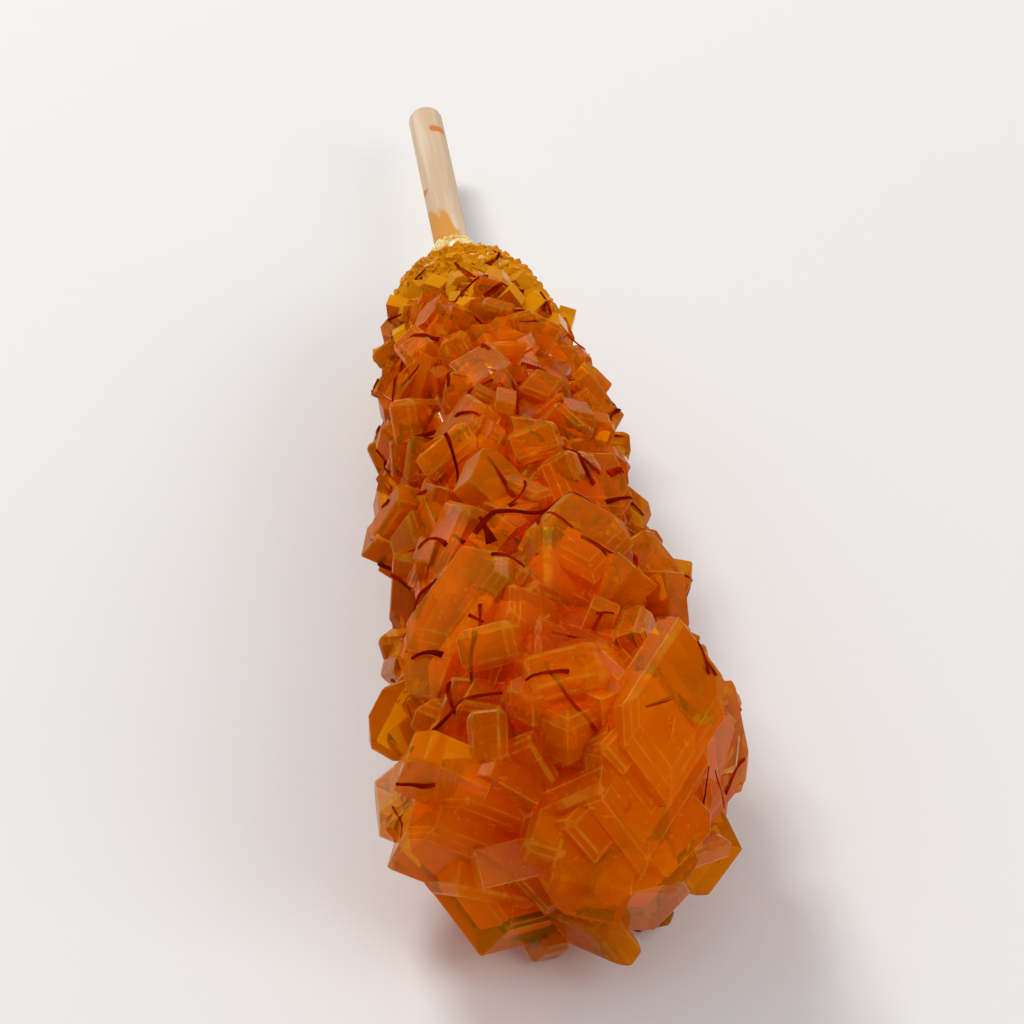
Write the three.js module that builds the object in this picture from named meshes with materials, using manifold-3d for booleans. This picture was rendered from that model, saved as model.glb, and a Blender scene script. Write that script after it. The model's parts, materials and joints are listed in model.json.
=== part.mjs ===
// Rock candy stick: saffron sugar crystals grown round a plain wooden stick, lying on its side.
// Millimetres, +Z up. +Y runs along the stick, from the large crystals to the bare end.
// The candy is one piece of intergrown crystals, fine at the neck and large at the far end.

import * as THREE from 'three';
import { mergeVertices } from 'three/addons/utils/BufferGeometryUtils.js';
import Module from 'manifold-3d';

const wasm = await Module();
wasm.setup();

// The wooden stick
const STICK_DIAMETER = 3.5;
const STICK_LENGTH = 118;
const BARE_LENGTH = 35;
const STICK_END_CHAMFER = 0.35;
const STICK_SIDES = 24;
const STICK_GAP = 0.3;

// The mass that the crystals stand on: a crust on the stick, a dome, a widening flank and a blunt end
const MASS_LENGTH = 87;
const CRUST_LENGTH = 5.4;
const CRUST_RADIUS = 2.6;
const COLLAR_RADIUS = 2.9;
const DOME_RADIUS = 7.5;
const DOME_DEPTH = 10;
const END_RADIUS = 10.2;
const END_DEPTH = 7;
const FLANK_SWELL = 0.6;
const DOME_SHARE = 0.2;
const END_SHARE = 0.88;
const OUTLINE_STEPS = 480;
const OUTLINE_NUDGE = 0.002;
const MASS_RINGS = 18;
const MASS_SIDES = 16;
const MASS_RELIEF = 1.4;
const RELIEF_INWARD = 0.4;

// The fine grains that cover the dome
const GRAIN_SEED = 5081;
const GRAIN_SPACING = 3.8;
const GRAIN_SIZES = [2, 3];
const GRAIN_LENGTH_SHARE = 1.3;

// The crystals of the flank and the end: how far apart they grow, and how large they are for that spacing
const CRYSTAL_SEED = 27644;
const FIRST_CRYSTAL_AT = 12;
const NECK_SPACING = 4.3;
const END_SPACING = 8.6;
const SPACING_GROWTH = 1.2;
const GOLDEN_ANGLE = Math.PI * (3 - Math.sqrt(5));
const ANGLE_JITTER = 0.25;
const SIZES = [0.95, 1.4];
const WIDTHS = [0.95, 1.2];
const THICKNESSES = [0.4, 0.56];
const LENGTHS = [1.05, 1.35];
const SKEWS = [-0.3, 0.25];
const WEDGES = [0.06, 0.18];
const PROUD_SHARES = [0.2, 0.38];

// Crystals lie anyhow at the neck. Towards the end they lie flatter, with a corner to the far end.
const LEADING_TURN = -Math.PI / 4;
const WILDNESS = [1, 0.32];
const WILD_TURN = Math.PI / 2;
const WILD_LEAN = 1.3;

// Only crystals over these sizes have worn edges, and cut corners with a smaller slab grown on them
const WEDGED_FROM = 5.9;
const STEPPED_FROM = 7.6;
const CUT_SHARES = [0.12, 0.34];
const STEP_SIZE_SHARE = 0.82;
const STEP_THICKNESS_SHARE = 0.7;
const STEP_SHIFT_SHARE = 0.5;
const STEP_OUTWARD_SHARE = 0.7;
const STEP_DROPS = [0.1, 0.22];

// The saffron threads that lie on the crystals
const THREAD_SEED = 733;
const THREAD_COUNT = 12;
const THREAD_WIDTH = 0.8;
const THREAD_THICKNESS = 0.5;
const THREAD_POINTS = 5;
const THREAD_SUNK = 0.15;
const THREAD_LENGTHS = [6, 12];
const THREAD_BOW = 1.5;
const THREAD_FIRST_AT = 14;
const THREAD_LAST_AT = 79;
const THREAD_TURN_RADIUS = 12;
const CAST_FROM = 60;

// How it lies: on its steadiest side, on crystals worn flat where they rest
const LYING_ROLL = THREE.MathUtils.degToRad(-67.9);
const LYING_TILT = THREE.MathUtils.degToRad(3.6);
const REST_TRIM = 0.8;

// Blocks taken away are this much larger than they need to be
const CUTTER_SPAN = 400;
const CUTTER_OVERLAP = 20;

// A repeatable run of numbers from 0 to 1
function seededDraws(seed) {
  let state = seed;
  return () => {
    state = (state * 48271) % 2147483647;
    return state / 2147483647;
  };
}

function between([low, high], share) {
  return low + (high - low) * share;
}

// Booleans on closed three.js geometry
function toSolid(geometry) {
  const bare = geometry.index ? geometry.toNonIndexed() : geometry.clone();
  bare.deleteAttribute('normal');
  bare.deleteAttribute('uv');
  const merged = mergeVertices(bare, 1e-4);
  return new wasm.Manifold(new wasm.Mesh({
    numProp: 3,
    vertProperties: new Float32Array(merged.attributes.position.array),
    triVerts: new Uint32Array(merged.index.array),
  }));
}

function toGeometry(solid) {
  const mesh = solid.getMesh();
  const geometry = new THREE.BufferGeometry();
  geometry.setAttribute('position', new THREE.BufferAttribute(new Float32Array(mesh.vertProperties), 3));
  geometry.setIndex(new THREE.BufferAttribute(new Uint32Array(mesh.triVerts), 1));
  geometry.computeVertexNormals();
  return geometry;
}

function joined(solids) {
  let row = solids;
  while (row.length > 1) {
    const next = [];
    for (let i = 0; i < row.length; i += 2) {
      next.push(i + 1 < row.length ? row[i].add(row[i + 1]) : row[i]);
    }
    row = next;
  }
  return row[0];
}

// The outer skin of a solid alone: pockets sealed inside are filled, and loose scraps dropped
function outerSkin(solid) {
  const pieces = solid.decompose();
  return pieces.reduce((best, piece) => (piece.volume() > best.volume() ? piece : best));
}

// Distance along the stick and radius of the mass at a share of its outline, from the collar to the far end
function massOutline(share) {
  if (share < DOME_SHARE) {
    const turn = (share / DOME_SHARE) * (Math.PI / 2);
    return {
      along: DOME_DEPTH * (1 - Math.cos(turn)),
      radius: between([COLLAR_RADIUS, DOME_RADIUS], Math.sin(turn)),
    };
  }
  if (share < END_SHARE) {
    const part = (share - DOME_SHARE) / (END_SHARE - DOME_SHARE);
    return {
      along: between([DOME_DEPTH, MASS_LENGTH - END_DEPTH], part),
      radius: between([DOME_RADIUS, END_RADIUS], part ** FLANK_SWELL),
    };
  }
  const turn = ((share - END_SHARE) / (1 - END_SHARE)) * (Math.PI / 2);
  return {
    along: MASS_LENGTH - END_DEPTH + END_DEPTH * Math.sin(turn),
    radius: END_RADIUS * Math.cos(turn),
  };
}

// A point on the mass, the way it faces, and the way to the far end along it, at a share of the outline
// and an angle round the stick
function massPoint(share, angle) {
  const here = massOutline(share);
  const before = massOutline(Math.max(0, share - OUTLINE_NUDGE));
  const after = massOutline(Math.min(1, share + OUTLINE_NUDGE));
  const normal = new THREE.Vector2(before.radius - after.radius, after.along - before.along).normalize();
  return {
    point: new THREE.Vector3(here.radius * Math.cos(angle), -here.along, here.radius * Math.sin(angle)),
    facing: new THREE.Vector3(normal.y * Math.cos(angle), -normal.x, normal.y * Math.sin(angle)),
    onward: new THREE.Vector3(-normal.x * Math.cos(angle), -normal.y, -normal.x * Math.sin(angle)),
  };
}

// The mass itself, a turned body with a granular relief
function massSolid() {
  const draw = seededDraws(CRYSTAL_SEED + 1);
  const outline = [new THREE.Vector2(0, CRUST_LENGTH), new THREE.Vector2(CRUST_RADIUS, CRUST_LENGTH)];
  for (let i = 0; i <= MASS_RINGS; i += 1) {
    const { along, radius } = massOutline(i / MASS_RINGS);
    outline.push(new THREE.Vector2(i === MASS_RINGS ? 0 : radius, -along));
  }
  const turned = new THREE.LatheGeometry(outline.reverse(), MASS_SIDES);
  turned.deleteAttribute('normal');
  turned.deleteAttribute('uv');
  const body = mergeVertices(turned, 1e-4);
  const place = body.attributes.position;
  for (let i = 0; i < place.count; i += 1) {
    const radius = Math.hypot(place.getX(i), place.getZ(i));
    if (radius > COLLAR_RADIUS) {
      const swell = 1 + (MASS_RELIEF * (draw() - RELIEF_INWARD)) / radius;
      place.setX(i, place.getX(i) * swell);
      place.setZ(i, place.getZ(i) * swell);
    }
  }
  return toSolid(body);
}

// One slab of sugar, its middle at the origin, its length along Z and its broad faces across Y. Its
// corners are oblique. A large one has worn edges, and two opposite corners cut, as sugar crystals do.
function blockGeometry({ width, thickness, length, wedge, cut, skew }) {
  const x = width / 2 - wedge;
  const z = length / 2 - wedge;
  const corners = cut > 0
    ? [[-x, -z], [x - cut, -z], [x, -z + cut], [x, z], [-x + cut, z], [-x, z - cut]]
    : [[-x, -z], [x, -z], [x, z], [-x, z]];
  const outline = corners.map(([a, b]) => new THREE.Vector2(a + skew * b, b));
  const block = new THREE.ExtrudeGeometry(new THREE.Shape(outline), {
    depth: thickness - 2 * wedge,
    bevelEnabled: wedge > 0,
    bevelSize: wedge,
    bevelThickness: wedge,
    bevelSegments: 1,
  });
  block.translate(0, 0, wedge - thickness / 2);
  return block.rotateX(Math.PI / 2);
}

// Spots on the mass at even spacing, each a golden angle on from the last
function spots(from, to, spacingAt, turnOf, visit) {
  let area = 0;
  let angle = 0;
  let before = massOutline(0);
  for (let i = 1; i <= OUTLINE_STEPS; i += 1) {
    const share = i / OUTLINE_STEPS;
    const here = massOutline(share);
    const step = Math.hypot(here.along - before.along, here.radius - before.radius);
    const ring = step * Math.PI * (here.radius + before.radius);
    before = here;
    area = here.along > from && here.along <= to ? area + ring : 0;
    const spacing = spacingAt(here.along);
    while (area > spacing * spacing) {
      area -= spacing * spacing;
      angle += GOLDEN_ANGLE + turnOf();
      visit({ share, angle, spacing });
    }
  }
}

// Where each crystal grows, how large it is and how it leans
function crystalPlan() {
  const draw = seededDraws(CRYSTAL_SEED);
  const plan = [];
  const spacingAt = (along) => between([NECK_SPACING, END_SPACING], (along / MASS_LENGTH) ** SPACING_GROWTH);
  const jitter = () => between([-ANGLE_JITTER, ANGLE_JITTER], draw());
  spots(FIRST_CRYSTAL_AT, MASS_LENGTH, spacingAt, jitter, ({ share, angle, spacing }) => {
    const size = spacing * between(SIZES, draw());
    const thickness = size * between(THICKNESSES, draw());
    const wildness = between(WILDNESS, massOutline(share).along / MASS_LENGTH);
    plan.push({
      share,
      angle,
      size,
      thickness,
      width: size * between(WIDTHS, draw()),
      length: size * between(LENGTHS, draw()),
      skew: between(SKEWS, draw()),
      wedge: size > WEDGED_FROM ? thickness * between(WEDGES, draw()) : 0,
      cut: size > STEPPED_FROM ? size * between(CUT_SHARES, draw()) : 0,
      proud: size * between(PROUD_SHARES, draw()),
      turn: LEADING_TURN + wildness * between([-WILD_TURN, WILD_TURN], draw()),
      lean: wildness * between([-WILD_LEAN, WILD_LEAN], draw()),
      sideLean: wildness * between([-WILD_LEAN, WILD_LEAN], draw()),
      stepSide: draw() < STEP_OUTWARD_SHARE ? 1 : -1,
      stepDrop: between(STEP_DROPS, draw()),
    });
  });
  return plan;
}

// The dome's grains, small blocks at even spacing and at any turn
function grainSolids() {
  const draw = seededDraws(GRAIN_SEED);
  const solids = [];
  spots(0, FIRST_CRYSTAL_AT, () => GRAIN_SPACING, () => 0, ({ share, angle }) => {
    const size = between(GRAIN_SIZES, draw());
    const grain = new THREE.BoxGeometry(size, size, GRAIN_LENGTH_SHARE * size);
    const turn = new THREE.Euler(Math.PI * draw(), Math.PI * draw(), Math.PI * draw());
    grain.applyMatrix4(new THREE.Matrix4().makeRotationFromEuler(turn));
    const { point } = massPoint(share, angle);
    grain.translate(point.x, point.y, point.z);
    solids.push(toSolid(grain));
  });
  return solids;
}

// Lays a crystal on its broad face, turns it so that a corner leads, tips it, and sinks it until its
// highest corner stands proud of the mass by the length planned
function crystalMatrix(crystal) {
  const { point, facing, onward } = massPoint(crystal.share, crystal.angle);
  const across = facing.clone().cross(onward);
  const flat = new THREE.Matrix4().makeBasis(across, facing, onward);
  const turn = new THREE.Quaternion().setFromRotationMatrix(flat);
  turn.multiply(new THREE.Quaternion().setFromAxisAngle(new THREE.Vector3(0, 1, 0), crystal.turn));
  turn.multiply(new THREE.Quaternion().setFromAxisAngle(new THREE.Vector3(1, 0, 0), crystal.lean));
  turn.multiply(new THREE.Quaternion().setFromAxisAngle(new THREE.Vector3(0, 0, 1), crystal.sideLean));
  const reach = (x, y, z) => Math.abs(facing.dot(new THREE.Vector3(x, y, z).applyQuaternion(turn)));
  const { width, thickness, length } = crystal;
  const tall = (reach(width, 0, 0) + reach(0, thickness, 0) + reach(0, 0, length)) / 2;
  const middle = point.clone().addScaledVector(facing, crystal.proud - tall);
  return new THREE.Matrix4().compose(middle, turn, new THREE.Vector3(1, 1, 1));
}

// A large crystal has a smaller block grown on its broad face, turned the same way, like a stair
function crystalSolids() {
  const solids = [];
  crystalPlan().forEach((crystal) => {
    const matrix = crystalMatrix(crystal);
    solids.push(toSolid(blockGeometry(crystal).applyMatrix4(matrix)));
    if (crystal.size > STEPPED_FROM) {
      const step = blockGeometry({
        width: STEP_SIZE_SHARE * crystal.width,
        thickness: STEP_THICKNESS_SHARE * crystal.thickness,
        length: STEP_SIZE_SHARE * crystal.length,
        wedge: 0,
        cut: STEP_SIZE_SHARE * crystal.cut,
        skew: crystal.skew,
      });
      step.translate(
        -crystal.stepDrop * crystal.width,
        crystal.stepSide * STEP_SHIFT_SHARE * crystal.thickness,
        -crystal.stepDrop * crystal.length,
      );
      solids.push(toSolid(step.applyMatrix4(matrix)));
    }
  });
  return solids;
}

// Saffron threads: thin curved strips that rest on the crystals' high points
function threadSolids(candy) {
  const draw = seededDraws(THREAD_SEED);
  const surface = new THREE.Mesh(toGeometry(candy), new THREE.MeshBasicMaterial({ side: THREE.DoubleSide }));
  const caster = new THREE.Raycaster();
  const heightAt = (along, angle) => {
    const outward = new THREE.Vector3(Math.cos(angle), 0, Math.sin(angle));
    const start = new THREE.Vector3(0, -along, 0).addScaledVector(outward, CAST_FROM);
    caster.set(start, outward.clone().negate());
    const hit = caster.intersectObject(surface)[0];
    return hit ? CAST_FROM - hit.distance : END_RADIUS;
  };
  const section = new THREE.Shape([
    new THREE.Vector2(-THREAD_THICKNESS / 2, -THREAD_WIDTH / 2),
    new THREE.Vector2(THREAD_THICKNESS / 2, -THREAD_WIDTH / 2),
    new THREE.Vector2(THREAD_THICKNESS / 2, THREAD_WIDTH / 2),
    new THREE.Vector2(-THREAD_THICKNESS / 2, THREAD_WIDTH / 2),
  ]);
  const solids = [];
  for (let i = 0; i < THREAD_COUNT; i += 1) {
    const along = between([THREAD_FIRST_AT, THREAD_LAST_AT], (i + draw()) / THREAD_COUNT);
    const angle = i * GOLDEN_ANGLE;
    const heading = Math.PI * draw();
    const length = between(THREAD_LENGTHS, draw());
    const bow = between([-THREAD_BOW, THREAD_BOW], draw());
    const heights = [];
    const course = [];
    for (let k = 0; k < THREAD_POINTS; k += 1) {
      const run = (k / (THREAD_POINTS - 1) - 0.5) * length;
      const side = bow * (1 - (2 * run / length) ** 2);
      const spotAlong = along + run * Math.cos(heading) - side * Math.sin(heading);
      const spotAngle = angle + (run * Math.sin(heading) + side * Math.cos(heading)) / THREAD_TURN_RADIUS;
      course.push({ spotAlong, spotAngle });
      heights.push(heightAt(spotAlong, spotAngle));
    }
    const points = course.map(({ spotAlong, spotAngle }, k) => {
      const low = heights[Math.max(0, k - 1)];
      const high = heights[Math.min(THREAD_POINTS - 1, k + 1)];
      const height = Math.max(heights[k], (low + high) / 2) - THREAD_SUNK;
      return new THREE.Vector3(height * Math.cos(spotAngle), -spotAlong, height * Math.sin(spotAngle));
    });
    const strip = new THREE.ExtrudeGeometry(section, {
      steps: THREAD_POINTS - 1,
      bevelEnabled: false,
      extrudePath: new THREE.CatmullRomCurve3(points),
    });
    solids.push(toSolid(strip));
  }
  return solids;
}

// The bore that the stick fills, with a hair of room round it
function boreSolid() {
  const radius = STICK_DIAMETER / 2 + STICK_GAP;
  const depth = STICK_LENGTH - BARE_LENGTH + STICK_GAP;
  const bore = new THREE.CylinderGeometry(radius, radius, depth + CUTTER_OVERLAP, STICK_SIDES);
  bore.translate(0, (CUTTER_OVERLAP - depth) / 2, 0);
  return toSolid(bore);
}

function stickGeometry() {
  const radius = STICK_DIAMETER / 2;
  const innerEnd = BARE_LENGTH - STICK_LENGTH;
  return new THREE.LatheGeometry([
    new THREE.Vector2(0, innerEnd),
    new THREE.Vector2(radius - STICK_END_CHAMFER, innerEnd),
    new THREE.Vector2(radius, innerEnd + STICK_END_CHAMFER),
    new THREE.Vector2(radius, BARE_LENGTH - STICK_END_CHAMFER),
    new THREE.Vector2(radius - STICK_END_CHAMFER, BARE_LENGTH),
    new THREE.Vector2(0, BARE_LENGTH),
  ], STICK_SIDES);
}

// How the whole thing is turned as it lies: first round the stick, then end to end
function lyingTurn() {
  return new THREE.Euler(-LYING_TILT, LYING_ROLL, 0, 'XYZ');
}

// The candy, turned as it lies, and trimmed level where it rests
function candyGeometry() {
  const lying = new THREE.Matrix4().makeRotationFromEuler(lyingTurn());
  const grown = outerSkin(joined([massSolid(), ...grainSolids(), ...crystalSolids()]));
  const dressed = outerSkin(joined([grown, ...threadSolids(grown)])).subtract(boreSolid());
  const candy = toGeometry(dressed).applyMatrix4(lying);
  candy.computeBoundingBox();
  const floor = new THREE.BoxGeometry(CUTTER_SPAN, CUTTER_SPAN, CUTTER_OVERLAP);
  floor.translate(0, 0, candy.boundingBox.min.z + REST_TRIM - CUTTER_OVERLAP / 2);
  return toGeometry(outerSkin(toSolid(candy).subtract(toSolid(floor))));
}

const wood = new THREE.MeshStandardMaterial({ color: 0xe3cba8, roughness: 0.7, metalness: 0 });
const sugar = new THREE.MeshStandardMaterial({
  color: 0xb05205,
  roughness: 0.15,
  metalness: 0,
  flatShading: true,
});

const candy = new THREE.Mesh(candyGeometry(), sugar);
candy.name = 'candy';

const stick = new THREE.Mesh(stickGeometry(), wood);
stick.name = 'stick';
stick.rotation.copy(lyingTurn());

const rockCandyStick = new THREE.Group();
rockCandyStick.add(candy, stick);

// The origin is on the resting plane, under the middle of the whole stick
const box = new THREE.Box3().setFromObject(rockCandyStick, true);
const middle = box.getCenter(new THREE.Vector3());
rockCandyStick.position.set(-middle.x, -middle.y, -box.min.z);

export default rockCandyStick;
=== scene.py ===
# The looks of a rock candy stick: clear saffron sugar crystals, fine at the neck and large at the far
# end, grown round a plain wooden stick that lies on its side. Metres, +Z up, +Y towards the bare wood.

import json
import math

import bmesh
import bpy
from mathutils import Euler, Matrix, Quaternion, Vector

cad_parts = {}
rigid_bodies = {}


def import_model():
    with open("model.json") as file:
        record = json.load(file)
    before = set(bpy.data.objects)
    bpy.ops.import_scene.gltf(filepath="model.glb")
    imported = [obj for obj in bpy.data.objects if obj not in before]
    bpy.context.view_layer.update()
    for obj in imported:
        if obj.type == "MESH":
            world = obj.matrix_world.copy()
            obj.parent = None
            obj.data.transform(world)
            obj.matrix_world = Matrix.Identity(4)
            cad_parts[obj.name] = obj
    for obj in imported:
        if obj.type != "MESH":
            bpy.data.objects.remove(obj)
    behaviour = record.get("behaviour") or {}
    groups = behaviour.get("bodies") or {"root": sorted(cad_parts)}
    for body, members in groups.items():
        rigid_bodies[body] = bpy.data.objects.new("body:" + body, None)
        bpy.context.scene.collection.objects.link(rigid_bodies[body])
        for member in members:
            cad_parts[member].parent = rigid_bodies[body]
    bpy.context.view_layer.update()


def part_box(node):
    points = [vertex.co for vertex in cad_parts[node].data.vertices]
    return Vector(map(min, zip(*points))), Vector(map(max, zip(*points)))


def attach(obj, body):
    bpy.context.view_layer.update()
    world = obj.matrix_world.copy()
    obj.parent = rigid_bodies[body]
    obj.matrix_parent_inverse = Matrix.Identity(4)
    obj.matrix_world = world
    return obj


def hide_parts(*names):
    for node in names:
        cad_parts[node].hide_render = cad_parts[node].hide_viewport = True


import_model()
scene = bpy.context.scene

MM = 0.001

# The wooden stick
STICK_RADIUS = 1.75 * MM
STICK_LENGTH = 118 * MM
BARE_LENGTH = 35 * MM
STICK_ROUNDING = 0.45 * MM

# The mass that the crystals stand on, as the solids have it
MASS_LENGTH = 87 * MM
COLLAR_RADIUS = 2.9 * MM
DOME_RADIUS = 7.5 * MM
DOME_DEPTH = 10 * MM
END_RADIUS = 10.2 * MM
END_DEPTH = 7 * MM
FLANK_SWELL = 0.6
DOME_SHARE = 0.2
END_SHARE = 0.88
OUTLINE_STEPS = 480
OUTLINE_NUDGE = 0.002

# The coarse crystals, by the same rule and the same draws as the solids
CRYSTAL_SEED = 27644
FIRST_CRYSTAL_AT = 12 * MM
NECK_SPACING = 4.3 * MM
END_SPACING = 8.6 * MM
SPACING_GROWTH = 1.2
GOLDEN_ANGLE = math.pi * (3 - math.sqrt(5))
ANGLE_JITTER = 0.25
SIZES = (0.95, 1.4)
WIDTHS = (0.95, 1.2)
THICKNESSES = (0.4, 0.56)
LENGTHS = (1.05, 1.35)
SKEWS = (-0.3, 0.25)
WEDGES = (0.06, 0.18)
PROUD_SHARES = (0.2, 0.38)
LEADING_TURN = -math.pi / 4
WILDNESS = (1, 0.32)
WILD_TURN = math.pi / 2
WILD_LEAN = 1.3
WEDGED_FROM = 5.9 * MM
STEPPED_FROM = 7.6 * MM
CUT_SHARES = (0.12, 0.34)
STEP_SIZE_SHARE = 0.82
STEP_THICKNESS_SHARE = 0.7
STEP_SHIFT_SHARE = 0.5
STEP_OUTWARD_SHARE = 0.7
STEP_DROPS = (0.1, 0.22)
LYING_ROLL = math.radians(-67.9)
LYING_TILT = math.radians(3.6)

# What only the looks have: terraces and worn edges on the crystals
EDGE_WEAR = 0.07 * MM
SMALL_WEAR = 0.03
FLAT_WEAR = 0.02
TERRACE_HEIGHT = 0.2 * MM
TERRACE_INSET_SHARE = 0.07
TERRACE_SHIFT_SHARE = 0.04
TERRACED_FROM = 5 * MM
SKIN_ROUGHNESS = (-0.5 * MM, 0.3 * MM)

# Slabs grown alongside each crystal, their measures in shares of its own
SIDE_SEED = 9173
SIDED_FROM = 3.4 * MM
SIDE_COUNT_SPREAD = 3.6
SIDE_SIZES = (0.26, 0.62)
SIDE_REACH = 0.46
SIDE_FLAT_SHARES = (0.6, 0.75)
SIDE_SINKS = (0.02, 0.2)
SIDE_HEIGHTS = (-0.4, 0.4)
SIDE_TILTS = (-0.07, 0.07)
SIDE_TWISTS = (-0.1, 0.1)

# Blocks between the crystals, and the fine grains of the dome
FILLER_SEED = 3301
FILLERS_BEFORE = 2 * MM
FILLER_SPACINGS = (1.6 * MM, 6 * MM)
FILLER_SIZES = (0.75, 1.25)
FILLER_PROUD_SHARES = (-0.1, 0.4)
CRISP_BELOW = 2.9 * MM
GRAIN_SEED = 5081
GRAIN_SPACING = 0.66 * MM
GRAIN_SIZES = (0.4 * MM, 0.85 * MM)
GRAIN_PROUD_SHARES = (-0.45, 0)
GRAIN_SHAPE = (1, 0.8, 1.2)
GRAINS_BEYOND = 3 * MM
DOME_PADDING = 0.6 * MM
FINE_TO = FIRST_CRYSTAL_AT - 1 * MM
FINE_SPREAD = 9 * MM

# The cloudy hearts inside the crystals
HEART_SHARE = 0.72
HEART_DEPTH = 0.6 * MM

# The pale crust at the neck
CRUST_SEED = 611
CRUST_LENGTH = 7.8 * MM
CRUST_RADIUS = 2.6 * MM
CRUST_GRAINS = 520
CRUST_GRAIN_SIZES = (0.3 * MM, 0.75 * MM)
CRUST_NARROWING = 0.78
CRUST_RAGGED = (-0.9 * MM, 0)
CRUST_MIDDLE_SHARE = 0.45
CRUST_SPREAD = (-0.1, 0.93)

# The saffron threads
THREAD_SEED = 733
LONG_THREADS = 12
LONG_THREAD_SPAN = (14 * MM, 79 * MM)
LONG_THREAD_LENGTHS = (6 * MM, 12 * MM)
THREAD_BOW = 1.5 * MM
THREAD_TURN_RADIUS = 12 * MM
SHORT_THREADS = 110
SHORT_THREAD_SPAN = (5 * MM, MASS_LENGTH - 2 * MM)
SHORT_THREAD_LENGTHS = (2 * MM, 7 * MM)
SHORT_THREAD_SIZES = (0.65, 1.15)
LONG_THREAD_SIZE = 1.2
THREAD_ENDS = (0.6, 1.3)
CURLS = (-0.12, 0.12)
KINKS = (0.03, 0.7)
END_DROOP = 0.3 * MM
SUNK_THREADS = 90
SUNK_DEPTH = 0.12 * MM
SUNK_SLOPE = 0.25
LIFT_SHARE = 0.45
THREAD_STEP = 0.5 * MM
THREAD_WIDTH = 0.52 * MM
THREAD_THICKNESS = 0.16 * MM
FORK_SHARE = 0.3
FORK_TURNS = (-0.9, 0.9)
PROBE_REACH = 60 * MM
ROOM_MARGIN = 0.05 * MM

# The colours: how far up the crystals stand, which the painted shade in the clefts and painted glow at the
# tips follow, how far the gold of the neck goes, and which ones glint
CRYSTAL_HEIGHTS = (1.6 * MM, 4.6 * MM)
NECK_GOLD = (12 * MM, 36 * MM)
GLINTS_FROM = 0.92

# The view and the light
VIEW_AZIMUTH = math.radians(-7)
VIEW_ELEVATION = math.radians(38)
VIEW_DISTANCE = 0.36
VIEW_HALF_WIDTH = 0.046
VIEW_MIDDLE = (0, -0.012, 0.012)


def draws(seed):
    """A repeatable run of numbers from 0 to 1."""
    state = seed

    def draw():
        nonlocal state
        state = state * 48271 % 2147483647
        return state / 2147483647

    return draw


def between(limits, share):
    return limits[0] + (limits[1] - limits[0]) * share


# Where the stick's own line lies in the frame: the solids turn it round itself, then tip it
low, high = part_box("stick")
lying_turn = Matrix.Rotation(-LYING_TILT, 4, "X") @ Matrix.Rotation(LYING_ROLL, 4, "Y")
stick_middle = Vector((0, BARE_LENGTH - STICK_LENGTH / 2, 0))
laid = Matrix.Translation((low + high) / 2 - lying_turn @ stick_middle) @ lying_turn


def mass_outline(share):
    """Distance along the stick and radius of the mass, from the collar to the far end."""
    if share < DOME_SHARE:
        turn = share / DOME_SHARE * math.pi / 2
        return DOME_DEPTH * (1 - math.cos(turn)), between((COLLAR_RADIUS, DOME_RADIUS), math.sin(turn))
    if share < END_SHARE:
        part = (share - DOME_SHARE) / (END_SHARE - DOME_SHARE)
        along = between((DOME_DEPTH, MASS_LENGTH - END_DEPTH), part)
        return along, between((DOME_RADIUS, END_RADIUS), part**FLANK_SWELL)
    turn = (share - END_SHARE) / (1 - END_SHARE) * math.pi / 2
    return MASS_LENGTH - END_DEPTH + END_DEPTH * math.sin(turn), END_RADIUS * math.cos(turn)


def mass_point(share, angle):
    """A point on the mass, the way it faces, and the way to the far end along it."""
    along, radius = mass_outline(share)
    along_before, radius_before = mass_outline(max(0, share - OUTLINE_NUDGE))
    along_after, radius_after = mass_outline(min(1, share + OUTLINE_NUDGE))
    normal = Vector((radius_before - radius_after, along_after - along_before)).normalized()
    point = Vector((radius * math.cos(angle), -along, radius * math.sin(angle)))
    facing = Vector((normal.y * math.cos(angle), -normal.x, normal.y * math.sin(angle)))
    onward = Vector((-normal.x * math.cos(angle), -normal.y, -normal.x * math.sin(angle)))
    return point, facing, onward


def spots(first, last, spacing_at, turn_of):
    """Spots on the mass at even spacing, each a golden angle on from the last."""
    area = 0
    angle = 0
    along_before, radius_before = mass_outline(0)
    for i in range(1, OUTLINE_STEPS + 1):
        share = i / OUTLINE_STEPS
        along, radius = mass_outline(share)
        step = math.hypot(along - along_before, radius - radius_before)
        ring = step * math.pi * (radius + radius_before)
        along_before, radius_before = along, radius
        area = area + ring if first < along <= last else 0
        spacing = spacing_at(along)
        while area > spacing * spacing:
            area -= spacing * spacing
            angle += GOLDEN_ANGLE + turn_of()
            yield share, angle, spacing


def select_only(*pieces):
    bpy.ops.object.select_all(action="DESELECT")
    for piece in pieces:
        piece.select_set(True)
    bpy.context.view_layer.objects.active = pieces[0]


def apply_modifier(piece, kind, **settings):
    modifier = piece.modifiers.new(kind.lower(), kind)
    for name, value in settings.items():
        setattr(modifier, name, value)
    select_only(piece)
    bpy.ops.object.modifier_apply(modifier=modifier.name)


def select_parts(piece, kind, wanted):
    """Selects a piece's faces or edges by their place or normal, in edit mode."""
    bpy.ops.mesh.select_mode(type="FACE" if kind == "faces" else "EDGE")
    bpy.ops.mesh.select_all(action="DESELECT")
    shape = bmesh.from_edit_mesh(piece.data)
    for part in getattr(shape, kind):
        part.select_set(wanted(part))
    bmesh.update_edit_mesh(piece.data)


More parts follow.
